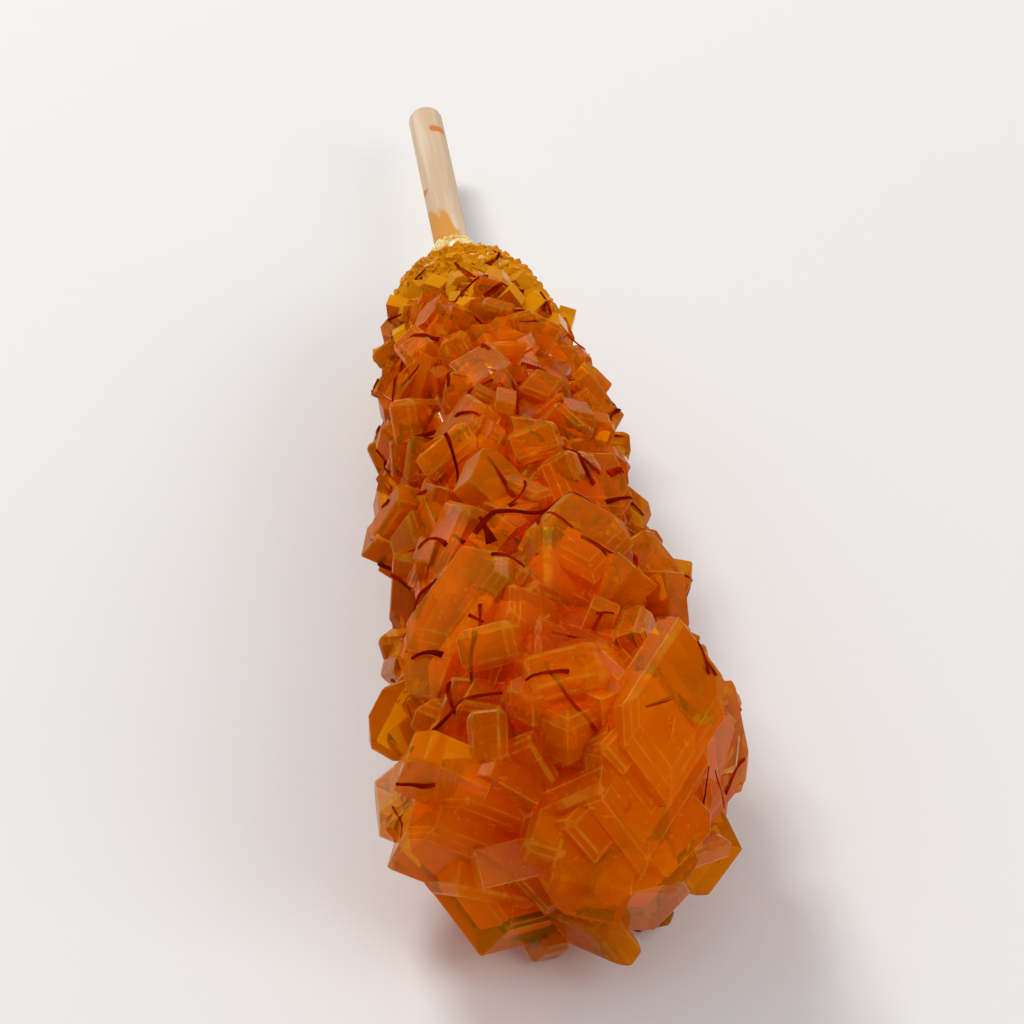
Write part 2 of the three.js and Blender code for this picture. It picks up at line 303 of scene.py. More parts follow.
def mark_rims(piece, wear, narrow):
    """Softens every edge a little, and marks the faces narrower than this as rims."""
    if wear:
        select_only(piece)
        bpy.ops.object.mode_set(mode="EDIT")
        bpy.ops.mesh.select_all(action="SELECT")
        bpy.ops.mesh.bevel(offset=wear, segments=1, affect="EDGES", clamp_overlap=True)
        bpy.ops.object.mode_set(mode="OBJECT")
    mesh = piece.data
    rims = mesh.attributes.new("rim", "FLOAT", "FACE")
    for face, rim in zip(mesh.polygons, rims.data):
        corners = [mesh.vertices[i].co for i in face.vertices]
        around = sum((corner - corners[i - 1]).length for i, corner in enumerate(corners))
        rim.value = float(2 * face.area < narrow * around)


def set_tone(mesh, tone):
    tones = mesh.attributes.new("tone", "FLOAT", "FACE")
    tones.data.foreach_set("value", [tone] * len(mesh.polygons))


def at_side_corner(edge):
    """One of the two opposite upright edges that sugar crystals lack."""
    run = edge.verts[1].co - edge.verts[0].co
    middle = (edge.verts[0].co + edge.verts[1].co) / 2
    return abs(run.y) > 0.99 * run.length and middle.x * middle.z < 0


def sugar_slab(
    width, thickness, length, wedge=0, cut=0, skew=0,
    terraces=0, terrace_height=TERRACE_HEIGHT, wear=EDGE_WEAR,
):
    """One slab of sugar about the origin: length along Z, broad faces across Y, terraces on both."""
    rise = terraces * terrace_height
    bpy.ops.object.select_all(action="DESELECT")
    bpy.ops.mesh.primitive_cube_add(size=1)
    slab = bpy.context.object
    slab.scale = (width, thickness - 2 * rise, length)
    bpy.ops.object.transform_apply(location=False, rotation=False, scale=True)
    bpy.ops.object.mode_set(mode="EDIT")
    if cut:
        select_parts(slab, "edges", at_side_corner)
        bpy.ops.mesh.bevel(offset=cut, segments=1, affect="EDGES")
    if wedge:
        select_parts(slab, "edges", lambda edge: edge.verts[0].co.y * edge.verts[1].co.y > 0)
        bpy.ops.mesh.bevel(offset=wedge, segments=1, affect="EDGES")
    if terraces:
        select_parts(slab, "faces", lambda face: abs(face.normal.y) > 0.99)
        for _ in range(terraces):
            bpy.ops.mesh.inset(thickness=width * TERRACE_INSET_SHARE, depth=terrace_height)
            slip = (-width * TERRACE_SHIFT_SHARE, 0, -length * TERRACE_SHIFT_SHARE)
            bpy.ops.transform.translate(value=slip)
    bpy.ops.object.mode_set(mode="OBJECT")
    slab.data.transform(Matrix(((1, 0, skew, 0), (0, 1, 0, 0), (0, 0, 1, 0), (0, 0, 0, 1))))
    mark_rims(slab, wear, max(2.5 * wear, 1.3 * rise / max(1, terraces)))
    return slab


def crystal_plan():
    """Where each coarse crystal grows, how large it is and how it leans."""
    draw = draws(CRYSTAL_SEED)

    def spacing_at(along):
        return between((NECK_SPACING, END_SPACING), (along / MASS_LENGTH) ** SPACING_GROWTH)

    def jitter():
        return between((-ANGLE_JITTER, ANGLE_JITTER), draw())

    plan = []
    for share, angle, spacing in spots(FIRST_CRYSTAL_AT, MASS_LENGTH, spacing_at, jitter):
        size = spacing * between(SIZES, draw())
        thickness = size * between(THICKNESSES, draw())
        wildness = between(WILDNESS, mass_outline(share)[0] / MASS_LENGTH)
        plan.append({
            "share": share,
            "angle": angle,
            "size": size,
            "thickness": thickness,
            "width": size * between(WIDTHS, draw()),
            "length": size * between(LENGTHS, draw()),
            "skew": between(SKEWS, draw()),
            "wedge": thickness * between(WEDGES, draw()) if size > WEDGED_FROM else 0,
            "cut": size * between(CUT_SHARES, draw()) if size > STEPPED_FROM else 0,
            "proud": size * between(PROUD_SHARES, draw()),
            "turn": LEADING_TURN + wildness * between((-WILD_TURN, WILD_TURN), draw()),
            "lean": wildness * between((-WILD_LEAN, WILD_LEAN), draw()),
            "side_lean": wildness * between((-WILD_LEAN, WILD_LEAN), draw()),
            "step_side": 1 if draw() < STEP_OUTWARD_SHARE else -1,
            "step_drop": between(STEP_DROPS, draw()),
        })
    return plan


def grown_turn(facing, onward, turn, lean, side_lean):
    """Broad face outward, turned about it, then tipped."""
    grown = Matrix((facing.cross(onward), facing, onward)).transposed().to_quaternion()
    grown = grown @ Quaternion((0, 1, 0), turn)
    grown = grown @ Quaternion((1, 0, 0), lean)
    return grown @ Quaternion((0, 0, 1), side_lean)


def crystal_matrix(crystal):
    """Lays a crystal on its broad face with a corner leading, tips it, and sinks it as far as planned."""
    point, facing, onward = mass_point(crystal["share"], crystal["angle"])
    turn = grown_turn(facing, onward, crystal["turn"], crystal["lean"], crystal["side_lean"])
    sides = (crystal["width"], crystal["thickness"], crystal["length"])
    axes = (Vector((1, 0, 0)), Vector((0, 1, 0)), Vector((0, 0, 1)))
    tall = sum(abs(facing.dot(turn @ axis)) * side for axis, side in zip(axes, sides)) / 2
    middle = point + facing * (crystal["proud"] - tall)
    return Matrix.Translation(middle) @ turn.to_matrix().to_4x4()


def side_crystals(crystal, matrix, draw, fitting, place):
    """Smaller slabs grown into a crystal, turned nearly as it is, so that their corners nest in its own."""
    outward = matrix.inverted().to_3x3() @ mass_point(crystal["share"], crystal["angle"])[1]
    broad_side = 1 if outward.y > 0 else -1
    flat_share = SIDE_FLAT_SHARES[int(crystal["size"] > STEPPED_FROM)]
    for _ in range(1 + int(SIDE_COUNT_SPREAD * draw())):
        size = crystal["size"] * between(SIDE_SIZES, draw() ** 1.5)
        across = crystal["width"] * between((-SIDE_REACH, SIDE_REACH), draw())
        along = crystal["length"] * between((-SIDE_REACH, SIDE_REACH), draw())
        if draw() < flat_share:
            height = broad_side * (0.5 * crystal["thickness"] - size * between(SIDE_SINKS, draw()))
        else:
            height = crystal["thickness"] * between(SIDE_HEIGHTS, draw())
            if draw() < 0.5:
                across = math.copysign(SIDE_REACH * crystal["width"], across)
            else:
                along = math.copysign(SIDE_REACH * crystal["length"], along)
        spot = Vector((across + crystal["skew"] * along, height, along))
        turn = Euler([between(limits, draw()) for limits in (SIDE_TILTS, SIDE_TWISTS, SIDE_TILTS)])
        grown = matrix @ Matrix.Translation(spot) @ turn.to_matrix().to_4x4() @ Matrix.Scale(size, 4)
        place(fitting(size, draw()), grown, draw())


def any_turn(draw):
    return Euler([2 * math.pi * draw() for _ in range(3)]).to_matrix().to_4x4()


def dome_padding(along):
    """How much thicker the mass is where fine grains stand in for the solids' coarse ones."""
    from_collar = max(0, along / (3 * MM))
    to_crystals = max(0, (FIRST_CRYSTAL_AT + 4 * MM - along) / (6 * MM))
    return DOME_PADDING * min(1, from_collar, to_crystals)


def mass_piece(sunk=0):
    """The mass itself: a sphere's rings drawn out along the stick to the outline, or just inside it."""
    bpy.ops.object.select_all(action="DESELECT")
    bpy.ops.mesh.primitive_uv_sphere_add(segments=48, ring_count=72, radius=1)
    mass = bpy.context.object
    draw = draws(CRYSTAL_SEED + 1)
    for vertex in mass.data.vertices:
        share = math.acos(max(-1, min(1, vertex.co.z))) / math.pi
        angle = math.atan2(vertex.co.y, vertex.co.x)
        along, radius = mass_outline(share)
        swell = between(SKIN_ROUGHNESS, draw()) + dome_padding(along) - sunk
        along = between((sunk, MASS_LENGTH - sunk), along / MASS_LENGTH)
        if abs(vertex.co.z) > 0.9999:
            radius = swell = 0
        reach = radius + swell
        vertex.co = laid @ Vector((reach * math.cos(angle), -along, reach * math.sin(angle)))
    return mass


def united(body, blocks, name):
    """Joins blocks and the body under them into one closed skin."""
    set_tone(body.data, 0.5)
    body.data.attributes.new("rim", "FLOAT", "FACE")
    group = bpy.data.collections.new(name)
    for mesh in blocks:
        group.objects.link(bpy.data.objects.new("block", mesh))
    scene.collection.children.link(group)
    apply_modifier(
        body, "BOOLEAN", operation="UNION", operand_type="COLLECTION", collection=group, solver="MANIFOLD",
    )
    for block in list(group.objects):
        bpy.data.objects.remove(block)
    bpy.data.collections.remove(group)
    body.name = name


def candy_pieces():
    """The whole candy but its pale crust, joined into one closed skin, and the cloudy hearts inside it."""
    made = []
    hearts = []

    def place(block, matrix, tone):
        mesh = block.data.copy()
        mesh.transform(laid @ matrix)
        set_tone(mesh, tone)
        made.append(mesh)

    grain = sugar_slab(1, 1, 1, wear=0)
    crisp = sugar_slab(1, 0.6, 1.1, cut=0.3, skew=0.12, wear=0)
    plain = sugar_slab(1, 0.6, 1.1, cut=0.3, skew=0.12, wear=SMALL_WEAR)
    worn = sugar_slab(1, 0.7, 1.25, wedge=0.12, cut=0.12, skew=-0.1, wear=SMALL_WEAR)
    flat = sugar_slab(1, 0.5, 1.15, cut=0.22, skew=-0.15, wear=FLAT_WEAR)
    stepped = sugar_slab(
        1, 0.52, 1.1, wedge=0.08, skew=0.1, terraces=1, terrace_height=0.05, wear=FLAT_WEAR,
    )
    shared = [plain, worn, flat, stepped]
    own = []

    def fitting(size, share):
        """One of the shared slabs, or for a small one the plainest, as its worn edges wouldn't show."""
        return shared[int(share * len(shared)) % len(shared)] if size > CRISP_BELOW else crisp

    draw = draws(SIDE_SEED)
    for crystal in crystal_plan():
        matrix = crystal_matrix(crystal)
        tone = draw()
        width = crystal["width"]
        thickness = crystal["thickness"]
        length = crystal["length"]
        terraces = 0 if crystal["size"] < TERRACED_FROM else 1 if crystal["size"] < STEPPED_FROM else 2
        slab = sugar_slab(
            width, thickness, length, crystal["wedge"], crystal["cut"], crystal["skew"], terraces,
        )
        own.append(slab)
        place(slab, matrix, tone)
        heart = slab.data.copy()
        heart.transform(laid @ matrix @ Matrix.Scale(HEART_SHARE, 4))
        set_tone(heart, tone)
        hearts.append(heart)
        if crystal["size"] > STEPPED_FROM:
            step = sugar_slab(
                STEP_SIZE_SHARE * width,
                STEP_THICKNESS_SHARE * thickness,
                STEP_SIZE_SHARE * length,
                cut=STEP_SIZE_SHARE * crystal["cut"],
                skew=crystal["skew"],
                terraces=2,
            )
            own.append(step)
            drop = -crystal["step_drop"]
            outward = crystal["step_side"] * STEP_SHIFT_SHARE * thickness
            shift = Vector((drop * width, outward, drop * length))
            place(step, matrix @ Matrix.Translation(shift), tone)
        if crystal["size"] > SIDED_FROM:
            side_crystals(crystal, matrix, draw, fitting, place)

    def filler_spacing(along):
        return between(FILLER_SPACINGS, along / MASS_LENGTH)

    draw = draws(FILLER_SEED)
    first = FIRST_CRYSTAL_AT - FILLERS_BEFORE
    for share, angle, spacing in spots(first, MASS_LENGTH, filler_spacing, lambda: draw() - 0.5):
        size = spacing * between(FILLER_SIZES, draw())
        point, facing, _ = mass_point(share, angle)
        middle = point + facing * size * between(FILLER_PROUD_SHARES, draw())
        block = fitting(size, draw())
        place(block, Matrix.Translation(middle) @ any_turn(draw) @ Matrix.Scale(size, 4), draw())

    draw = draws(GRAIN_SEED)
    last = FIRST_CRYSTAL_AT + GRAINS_BEYOND
    for share, angle, _ in spots(0, last, lambda along: GRAIN_SPACING, lambda: 0):
        size = between(GRAIN_SIZES, draw())
        point, facing, _ = mass_point(share, angle)
        middle = point + facing * (dome_padding(-point.y) + between(GRAIN_PROUD_SHARES, draw()) * size)
        shape = Matrix.Diagonal([side * size for side in GRAIN_SHAPE] + [1])
        place(grain, Matrix.Translation(middle) @ any_turn(draw) @ shape, draw())

    for template in [grain, crisp] + shared + own:
        bpy.data.objects.remove(template)
    candy = mass_piece()
    united(candy, made, "sugar_crystals")
    trim_to_solid(candy, 0)
    heart = mass_piece(HEART_DEPTH)
    united(heart, hearts, "cloudy_hearts")
    trim_to_solid(heart, HEART_DEPTH)
    return candy, heart


def trim_to_solid(piece, margin):
    """Keeps the crystals in the solid's own room, and flat where they rest."""
    low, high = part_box("candy")
    bpy.ops.object.select_all(action="DESELECT")
    bpy.ops.mesh.primitive_cube_add(size=1, location=(low + high) / 2)
    room = bpy.context.object
    room.scale = high - low - Vector((2, 2, 2)) * margin
    apply_modifier(piece, "BOOLEAN", operation="INTERSECT", object=room, solver="MANIFOLD")
    bpy.data.objects.remove(room)


def crust_piece():
    """The collar of pale fine sugar that climbs the wood where the candy starts."""
    draw = draws(CRUST_SEED)
    bpy.ops.object.select_all(action="DESELECT")
    bpy.ops.mesh.primitive_cylinder_add(vertices=36, radius=CRUST_RADIUS, depth=CRUST_LENGTH)
    crust = bpy.context.object
    bpy.ops.object.mode_set(mode="EDIT")
    select_parts(crust, "faces", lambda face: face.normal.z > 0.9)
    bpy.ops.transform.resize(value=(CRUST_NARROWING, CRUST_NARROWING, 1))
    bpy.ops.mesh.inset(thickness=CRUST_RADIUS * CRUST_NARROWING - STICK_RADIUS)
    bpy.ops.object.mode_set(mode="OBJECT")
    for vertex in crust.data.vertices:
        vertex.co.z += between(CRUST_RAGGED, draw()) if vertex.co.z > 0 else 0
    risen = Matrix.Translation((0, CRUST_MIDDLE_SHARE * CRUST_LENGTH, 0))
    crust.data.transform(laid @ risen @ Matrix.Rotation(-math.pi / 2, 4, "X"))
    grain = sugar_slab(1, 1, 1, wear=SMALL_WEAR)
    made = []
    for i in range(CRUST_GRAINS):
        size = between(CRUST_GRAIN_SIZES, draw())
        along = between(CRUST_SPREAD, draw() ** 1.15) * CRUST_LENGTH
        radius = between((CRUST_RADIUS, STICK_RADIUS * 1.08), max(0, along / CRUST_LENGTH))
        angle = i * GOLDEN_ANGLE
        middle = Vector((radius * math.cos(angle), along, radius * math.sin(angle)))
        mesh = grain.data.copy()
        mesh.transform(laid @ Matrix.Translation(middle) @ any_turn(draw) @ Matrix.Scale(size, 4))
        set_tone(mesh, draw())
        made.append(mesh)
    bpy.data.objects.remove(grain)
    united(crust, made, "neck_crust")
    return crust


def skin_height(candy, along, angle):
    """How far from the stick's own line the candy's skin is, at a place along it and an angle round it."""
    outward = Vector((math.cos(angle), 0, math.sin(angle)))
    start = laid @ (Vector((0, -along, 0)) + outward * PROBE_REACH)
    hit, spot, _, _ = candy.ray_cast(start, -(laid.to_3x3() @ outward))
    return PROBE_REACH - (spot - start).length if hit else 0


def bowed_way(draw, i):
    """Where a long thread runs, by the same rule and draws as the solid's: a bow about its middle."""
    along = between(LONG_THREAD_SPAN, (i + draw()) / LONG_THREADS)
    heading = math.pi * draw()
    length = between(LONG_THREAD_LENGTHS, draw())
    bow = between((-THREAD_BOW, THREAD_BOW), draw())
    steps = int(length / THREAD_STEP)
    way = []
    for k in range(steps + 1):
        share = k / steps - 0.5
        run = share * length
        side = bow * (1 - 4 * share * share)
        way.append((
            along + run * math.cos(heading) - side * math.sin(heading),
            i * GOLDEN_ANGLE + (run * math.sin(heading) + side * math.cos(heading)) / THREAD_TURN_RADIUS,
        ))
    return way


def wandering_way(candy, along, angle, heading, length, curl, kink, draw):
    """Where a short thread runs: on from its root, curling steadily and kinking by chance."""
    way = []
    for _ in range(max(4, int(length / THREAD_STEP))):
        way.append((along, angle))
        heading += curl + kink * between((-1, 1), draw())
        along = min(MASS_LENGTH, max(2 * MM, along + THREAD_STEP * math.cos(heading)))
        angle += THREAD_STEP * math.sin(heading) / max(skin_height(candy, along, angle), COLLAR_RADIUS)
    return way


def settled(candy, way, sunk):
    """The way with its height from the stick's line, over the sugar's high points or along its faces."""
    course = [[along, angle, skin_height(candy, along, angle)] for along, angle in way]
    for _ in range(2 if sunk else 6):
        for i in range(1, len(course) - 1):
            course[i][2] = max(course[i][2], (course[i - 1][2] + course[i + 1][2]) / 2)
    if sunk:
        for i in range(1, len(course)):
            course[i][2] = min(course[i][2], course[i - 1][2] + SUNK_SLOPE * THREAD_STEP)
    for i in (0, len(course) - 1):
        beside = course[1] if i == 0 else course[-2]
        course[i][2] = max(course[i][2], beside[2] - END_DROOP)
    return course


def lay_strand(curve, course, size, lift):
    """One strand of a thread, as a flat strip that lies with its broad side on the sugar."""
    spots_on = [
        laid @ Vector(((height + lift) * math.cos(angle), -along, (height + lift) * math.sin(angle)))
        for along, angle, height in course
    ]
    strand = curve.splines.new("NURBS")
    strand.points.add(len(spots_on) - 1)
    strand.use_endpoint_u = True
    strand.order_u = 3
    for k, point in enumerate(strand.points):
        angle = course[k][1]
        outward = laid.to_3x3() @ Vector((math.cos(angle), 0, math.sin(angle)))
        after = spots_on[min(k + 1, len(spots_on) - 1)]
        onward = (after - spots_on[max(k - 1, 0)]).normalized()
        across = onward.cross(outward)
        upward = Vector((0, 0, 1)) - onward * onward.z
        point.co = (*spots_on[k], 1)
        point.tilt = math.atan2(across.dot(onward.cross(upward)), across.dot(upward))
        point.radius = size * between(THREAD_ENDS, (k / len(spots_on)) ** 2)


def threads_piece(candy, name, seed, long_count, count, sunk):
    """Saffron threads, flat strips that widen to their tips, some of them forked, all round the candy."""
    bpy.ops.object.select_all(action="DESELECT")
    bpy.ops.curve.primitive_nurbs_path_add()
    threads = bpy.context.object
    curve = threads.data
    curve.splines.clear()
    curve.twist_mode = "Z_UP"
    lift = -SUNK_DEPTH if sunk else LIFT_SHARE * THREAD_THICKNESS
    draw = draws(seed)
    for i in range(long_count):
        lay_strand(curve, settled(candy, bowed_way(draw, i), sunk), LONG_THREAD_SIZE, lift)
    for i in range(count):
        along = between(SHORT_THREAD_SPAN, (i + draw()) / count)
        heading = 2 * math.pi * draw()
        length = between(SHORT_THREAD_LENGTHS, draw() ** 1.4)
        curl = between(CURLS, draw())
        kink = between(KINKS, draw() ** 4)
        size = between(SHORT_THREAD_SIZES, draw())
        ways = [wandering_way(candy, along, i * GOLDEN_ANGLE, heading, length, curl, kink, draw)]
        if draw() < FORK_SHARE:
            fork_along, fork_angle = ways[0][len(ways[0]) // 2]
            turned = heading + curl * len(ways[0]) / 2 + between(FORK_TURNS, draw())
            fork_length = 0.5 * length
            ways.append(
                wandering_way(candy, fork_along, fork_angle, turned, fork_length, curl, kink, draw)
            )
        for way in ways:
            lay_strand(curve, settled(candy, way, sunk), size, lift)
    curve.resolution_u = 2
    curve.extrude = (THREAD_WIDTH - THREAD_THICKNESS) / 2
    curve.bevel_depth = THREAD_THICKNESS / 2
    curve.bevel_resolution = 0
    curve.use_fill_caps = True
    select_only(threads)
    bpy.ops.object.convert(target="MESH")
    low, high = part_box("candy")
    for vertex in threads.data.vertices:
        for axis in range(3):
            inside = max(low[axis] + ROOM_MARGIN, vertex.co[axis])
            vertex.co[axis] = min(high[axis] - ROOM_MARGIN, inside)
    bpy.ops.object.shade_smooth_by_angle(angle=math.radians(50))
    threads.name = name
    return threads


def stick_piece():
    """The wooden stick: a cylinder with softly rounded ends, which remembers its own place along itself."""
    bpy.ops.object.select_all(action="DESELECT")
    bpy.ops.mesh.primitive_cylinder_add(vertices=48, radius=STICK_RADIUS, depth=STICK_LENGTH)
    stick = bpy.context.object
    bpy.ops.object.mode_set(mode="EDIT")
    select_parts(stick, "edges", lambda edge: abs(edge.verts[0].co.z - edge.verts[1].co.z) < MM)
    bpy.ops.mesh.bevel(offset=STICK_ROUNDING, segments=4, affect="EDGES")
    bpy.ops.object.mode_set(mode="OBJECT")
    stick.data.transform(Matrix.Translation(stick_middle) @ Matrix.Rotation(-math.pi / 2, 4, "X"))
    own = stick.data.attributes.new("own_place", "FLOAT_VECTOR", "POINT")
    own.data.foreach_set("vector", [c for vertex in stick.data.vertices for c in vertex.co])
    stick.data.transform(laid)
    select_only(stick)
    bpy.ops.object.shade_smooth_by_angle(angle=math.radians(40))
    stick.name = "wooden_stick"
    return stick


candy, hearts = candy_pieces()
stick = stick_piece()
crust = crust_piece()
threads = threads_piece(candy, "saffron_threads", THREAD_SEED, LONG_THREADS, SHORT_THREADS, False)
sunk = threads_piece(candy, "sunk_threads", THREAD_SEED + 1, 0, SUNK_THREADS, True)


class Value:
    """A number, colour or vector in a material, which takes sums and products as Python's numbers do."""

    def __init__(self, finish, socket):
        self.finish = finish
        self.socket = socket

    def maths(self, operation, first, second):
        return self.finish.node("ShaderNodeMath", {"operation": operation}, {0: first, 1: second})

    def __add__(self, other):
        return self.maths("ADD", self, other)

    def __sub__(self, other):
        return self.maths("SUBTRACT", self, other)

    def __mul__(self, other):
        return self.maths("MULTIPLY", self, other)

    def __rmul__(self, other):
        return self.maths("MULTIPLY", other, self)

    def __truediv__(self, other):
        return self.maths("DIVIDE", self, other)

    def __pow__(self, other):
        return self.maths("POWER", self, other)


class Finish:
    """A material on Principled, with the few things its expressions are made from."""

    def __init__(self, name, **constants):
        self.material = bpy.data.materials.new(name)
        self.material.use_nodes = True
        self.tree = self.material.node_tree
        self.shader = self.tree.nodes["Principled BSDF"]
        for socket, value in constants.items():
            self.shader.inputs[socket.replace("_", " ")].default_value = value

    def node(self, kind, settings, inputs, output=0):
        made = self.tree.nodes.new(kind)
        for name, value in settings.items():
            setattr(made, name, value)
        for name, value in inputs.items():
            self.feed(made.inputs[name], value)
        return Value(self, made.outputs[output])

    def feed(self, socket, value):
        if isinstance(value, Value):
            self.tree.links.new(value.socket, socket)
        else:
            socket.default_value = value

    def set(self, socket, value):
        self.feed(self.shader.inputs[socket], value)

    def place(self):
        return self.node("ShaderNodeTexCoord", {}, {}, "Object")

    def attribute(self, name, output="Fac"):
        return self.node("ShaderNodeAttribute", {"attribute_name": name}, {}, output)

    def noise(self, place, scale, detail=3, roughness=0.5):
        inputs = {"Vector": place, "Scale": scale, "Detail": detail, "Roughness": roughness}
        return self.node("ShaderNodeTexNoise", {}, inputs)

    def fade(self, value, start, end, low=0.0, high=1.0):
        """Goes from low at start to high at end, and stays there."""
        inputs = {"Value": value, "From Min": start, "From Max": end, "To Min": low, "To Max": high}
        return self.node("ShaderNodeMapRange", {"clamp": True, "interpolation_type": "SMOOTHSTEP"}, inputs)

    def fade_straight(self, value, start, end, low, high):
        """The same in a straight line."""
        inputs = {"Value": value, "From Min": start, "From Max": end, "To Min": low, "To Max": high}
        return self.node("ShaderNodeMapRange", {"clamp": True}, inputs)

    def mix(self, share, first, second):
        """A blend of two colours, which a Mix node of colours has at its sockets 6 and 7 and gives at 2."""
        settings = {"data_type": "RGBA", "clamp_factor": True}
        return self.node("ShaderNodeMix", settings, {"Factor": share, 6: first, 7: second}, 2)

    def bump(self, height, distance, strength):
        inputs = {"Height": height, "Distance": distance, "Strength": strength}
        return self.node("ShaderNodeBump", {}, inputs)


def paint(red, green, blue):
    """A colour seen as these 0 to 255 values, as light."""
    def light(level):
        share = level / 255
        return share / 12.92 if share < 0.04045 else ((share + 0.055) / 1.055) ** 2.4

    return light(red), light(green), light(blue), 1


def growth_shares(sugar):
    """How far out a point stands, 0 in the clefts and 1 at the crystals' tips, which the painted shade and
    glow follow, and how near the neck.
    """
    turned = lying_turn.inverted().to_euler()
    moved = lying_turn.inverted() @ -laid.translation
    inputs = {"Vector": sugar.place(), "Location": moved, "Rotation": turned}
    own = sugar.node("ShaderNodeMapping", {"vector_type": "POINT"}, inputs)
    x, y, z = (sugar.node("ShaderNodeSeparateXYZ", {}, {0: own}, axis) for axis in "XYZ")
    along = -1 * y
    beyond = sugar.fade_straight(
        along, MASS_LENGTH - END_RADIUS, MASS_LENGTH + END_RADIUS, 0, 2 * END_RADIUS,
    )
    reach = (x * x + z * z + beyond * beyond) ** 0.5
    foot = sugar.fade_straight(along, DOME_DEPTH, MASS_LENGTH - END_DEPTH, DOME_RADIUS, END_RADIUS)
    height = sugar.fade_straight(along, DOME_DEPTH, MASS_LENGTH, *CRYSTAL_HEIGHTS)
    return (reach - foot) / height, sugar.fade(along, *NECK_GOLD, 1, 0)


def sugar_finish(name, clear, deep, red, gold, rim_highlight_share):
    """Clear saffron sugar: orange, with painted shade that makes it darker and redder down in the clefts;
    gold at the neck and in random clouds, with a painted glow in gold at the tips; painted golden
    highlights on the narrow rims of its softened edges.
    """
    sugar = Finish(
        name, IOR=1.14, Specular_IOR_Level=0.0, Specular_Tint=(1, 0.4, 0.1, 1), Transmission_Weight=clear,
        Coat_IOR=1.3, Coat_Roughness=0.1,
    )
    place = sugar.place()
    tone = sugar.attribute("tone")
    rim = sugar.attribute("rim")
    out, near_neck = growth_shares(sugar)
    cloud = sugar.noise(place, 190, 4, 0.6)
    vein = sugar.noise(place, 620, 3, 0.6)
    # Painted shade: the deep colour down in the clefts, fading to the red colour further out.
    colour = sugar.mix(sugar.fade(out + 0.3 * cloud, -0.15, 0.6), deep, red)
    # Painted glow: gold at the crystals' tips, mixed with gold in random tone, clouds and veins.
    gold_and_tip_glow = 0.5 * out + 0.3 * tone + 0.5 * cloud + 0.2 * vein
    colour = sugar.mix(sugar.fade(gold_and_tip_glow, 0.45, 1.2), colour, gold)
    colour = sugar.mix(0.85 * near_neck, colour, gold)
    # Painted highlight: pale gold on the narrow rims of the softened edges.
    colour = sugar.mix(rim_highlight_share * rim * sugar.fade(vein, 0.3, 0.6), colour, paint(255, 208, 54))
    sugar.set("Base Color", colour)
    sugar.set("Roughness", sugar.fade(vein, 0.3, 0.75, 0.08, 0.22))
    sugar.set("Coat Weight", sugar.fade(tone, GLINTS_FROM, GLINTS_FROM + 0.01))
    ripple = sugar.noise(place, 700, 3, 0.55)
    sugar.set("Normal", sugar.bump(ripple, 0.00012, 0.3))
    return sugar.material


def heart_finish():
    """The cloudy sugar inside the crystals: painted shade makes it red-orange deep down, orange further
    out, with paler clouds.
    """
    heart = Finish("cloudy_sugar", Specular_IOR_Level=0.0, Roughness=0.8)
    cloud = heart.noise(heart.place(), 260, 4, 0.6)
    out, near_neck = growth_shares(heart)
    # Painted shade: red-orange deep down, orange further out.
    colour = heart.mix(heart.fade(out + 0.4 * cloud, -0.1, 0.7), paint(214, 66, 0), paint(236, 118, 0))
    paler = heart.fade(0.4 * heart.attribute("tone") + cloud, 0.6, 1.1)
    colour = heart.mix(paler, colour, paint(248, 156, 14))
    colour = heart.mix(0.9 * near_neck, colour, paint(240, 142, 6))
    fleck = heart.noise(heart.place(), 1500, 2)
    colour = heart.mix(0.6 * heart.fade(fleck, 0.62, 0.72), colour, paint(255, 190, 70))
    heart.set("Base Color", colour)
    return heart.material


def wood_finish():
    """Smooth pale birch with faint grain, and the yellow and orange stains of dripped syrup."""
    wood = Finish("birch", IOR=1.45, Specular_IOR_Level=0.35, Roughness=0.62)
    place = wood.attribute("own_place", "Vector")
    stretched = wood.node("ShaderNodeMapping", {}, {"Vector": place, "Scale": (900, 40, 900)})
    grain = wood.noise(stretched, 1, 5, 0.6)
    colour = wood.mix(wood.fade(grain, 0.35, 0.7), paint(208, 177, 142), paint(229, 206, 174))
    from_candy = wood.node("ShaderNodeSeparateXYZ", {}, {0: place}, "Y")
    drawn = wood.node("ShaderNodeMapping", {}, {"Vector": place, "Scale": (1, 0.3, 1)})
    streak = wood.noise(drawn, 420, 2)
    streaked = wood.fade(streak - 0.009 * from_candy / MM, 0.4, 0.48)
    colour = wood.mix(0.9 * streaked, colour, paint(214, 140, 6))
    spot = wood.noise(place, 260, 1)
    colour = wood.mix(0.9 * wood.fade(spot, 0.66, 0.7), colour, paint(218, 108, 8))
    wood.set("Base Color", colour)
    wood.set("Normal", wood.bump(grain, 0.00005, 0.5))
    return wood.material


def crust_finish():
    """Pale fine sugar, a little stained by the syrup."""
    crust = Finish(
        "pale_sugar", IOR=1.5, Roughness=0.25,
        Subsurface_Weight=1.0, Subsurface_Scale=0.002, Subsurface_Radius=(1.0, 0.7, 0.35),
    )
    tone = crust.attribute("tone")
    stain = crust.noise(crust.place(), 500, 2)
    stained = crust.fade(0.4 * tone + stain, 0.5, 0.95)
    crust.set("Base Color", crust.mix(stained, paint(238, 214, 160), paint(232, 170, 60)))
    return crust.material


def saffron_finish(name, dark, bright):
    """Dry saffron: deep crimson with brighter stretches."""
    saffron = Finish(name, IOR=1.45, Roughness=0.6, Specular_IOR_Level=0.0)
    shade = saffron.noise(saffron.place(), 260, 2)
    saffron.set("Base Color", saffron.mix(saffron.fade(shade, 0.35, 0.7), dark, bright))
    return saffron.material


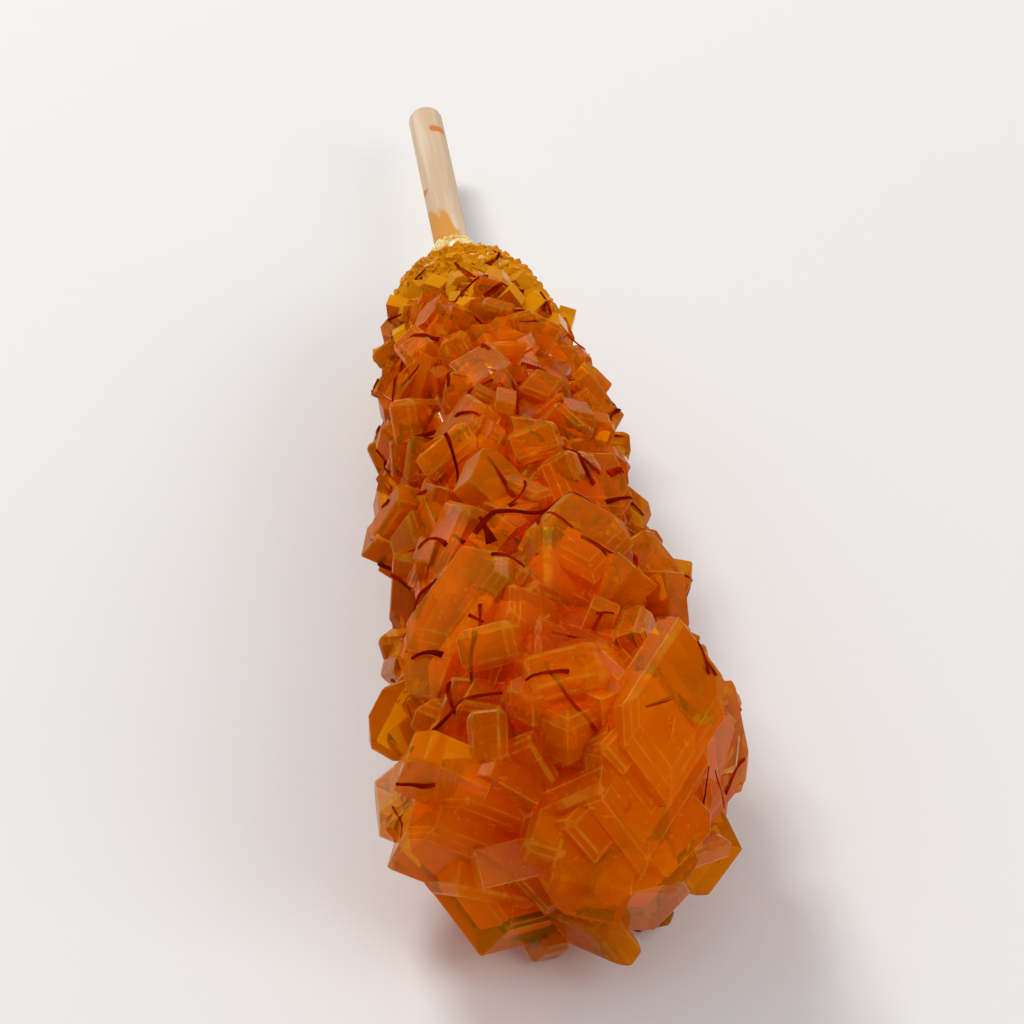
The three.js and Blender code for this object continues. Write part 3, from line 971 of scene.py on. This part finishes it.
def floor_finish():
    floor = Finish("pale_floor", Specular_IOR_Level=0.25, Roughness=0.7)
    soft = floor.noise(floor.place(), 6, 3)
    floor.set("Base Color", floor.mix(soft, paint(232, 230, 226), paint(240, 238, 235)))
    return floor.material


def dress(piece, material):
    piece.data.materials.clear()
    piece.data.materials.append(material)
    for face in piece.data.polygons:
        face.material_index = 0


# The colours: deep for the painted shade in the clefts, red, and gold, also the painted glow at the tips;
# last the share of the painted rim highlight.
coarse_sugar = sugar_finish(
    "saffron_sugar", 0.75, paint(206, 70, 0), paint(226, 108, 0), paint(246, 152, 0), 0.7,
)
fine_sugar = sugar_finish(
    "fine_sugar", 0.4, paint(232, 130, 0), paint(238, 140, 0), paint(250, 172, 16), 0.3,
)
dress(candy, coarse_sugar)
candy.data.materials.append(fine_sugar)
unlaid = laid.inverted()
for face, tone in zip(candy.data.polygons, candy.data.attributes["tone"].data):
    along = -(unlaid @ face.center).y
    face.material_index = int(along < FINE_TO + tone.value * FINE_SPREAD)
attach(candy, "root")
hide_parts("candy")
dress(hearts, heart_finish())
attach(hearts, "root")
dress(crust, crust_finish())
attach(crust, "root")
dress(threads, saffron_finish("saffron", paint(96, 10, 0), paint(162, 28, 2)))
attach(threads, "root")
dress(sunk, saffron_finish("sunk_saffron", paint(120, 14, 0), paint(168, 34, 2)))
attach(sunk, "root")
dress(stick, wood_finish())
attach(stick, "root")
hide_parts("stick")

bpy.ops.object.select_all(action="DESELECT")
bpy.ops.mesh.primitive_plane_add(size=3)
floor = bpy.context.object
floor.name = "floor"
dress(floor, floor_finish())


def soft_light(name, place, aim, size, power, colour):
    light = bpy.data.lights.new(name, "AREA")
    light.shape = "RECTANGLE"
    light.size, light.size_y = size
    light.energy = power
    light.color = colour
    lamp = bpy.data.objects.new(name, light)
    lamp.location = place
    lamp.rotation_euler = (aim - Vector(place)).to_track_quat("-Z", "Y").to_euler()
    scene.collection.objects.link(lamp)


middle = Vector(VIEW_MIDDLE)
soft_light("window", (-0.25, 0.45, 0.6), middle, (0.26, 0.2), 3.5, (1, 0.97, 0.94))
soft_light("fill", (0.5, -0.45, 0.5), middle, (0.5, 0.5), 2.0, (1, 0.98, 0.95))
world = bpy.data.worlds.new("room")
world.use_nodes = True
sky = world.node_tree.nodes["Background"]
sky.inputs["Color"].default_value = (0.9, 0.93, 1, 1)
sky.inputs["Strength"].default_value = 0.5
scene.world = world

camera_data = bpy.data.cameras.new("camera")
camera = bpy.data.objects.new("camera", camera_data)
toward = Vector((
    math.sin(VIEW_AZIMUTH) * math.cos(VIEW_ELEVATION),
    -math.cos(VIEW_AZIMUTH) * math.cos(VIEW_ELEVATION),
    math.sin(VIEW_ELEVATION),
))
camera.location = middle + toward * VIEW_DISTANCE
camera.rotation_euler = (-toward).to_track_quat("-Z", "Y").to_euler()
camera_data.angle = 2 * math.atan(VIEW_HALF_WIDTH / VIEW_DISTANCE)
scene.collection.objects.link(camera)
scene.camera = camera
scene.view_settings.view_transform = "Standard"
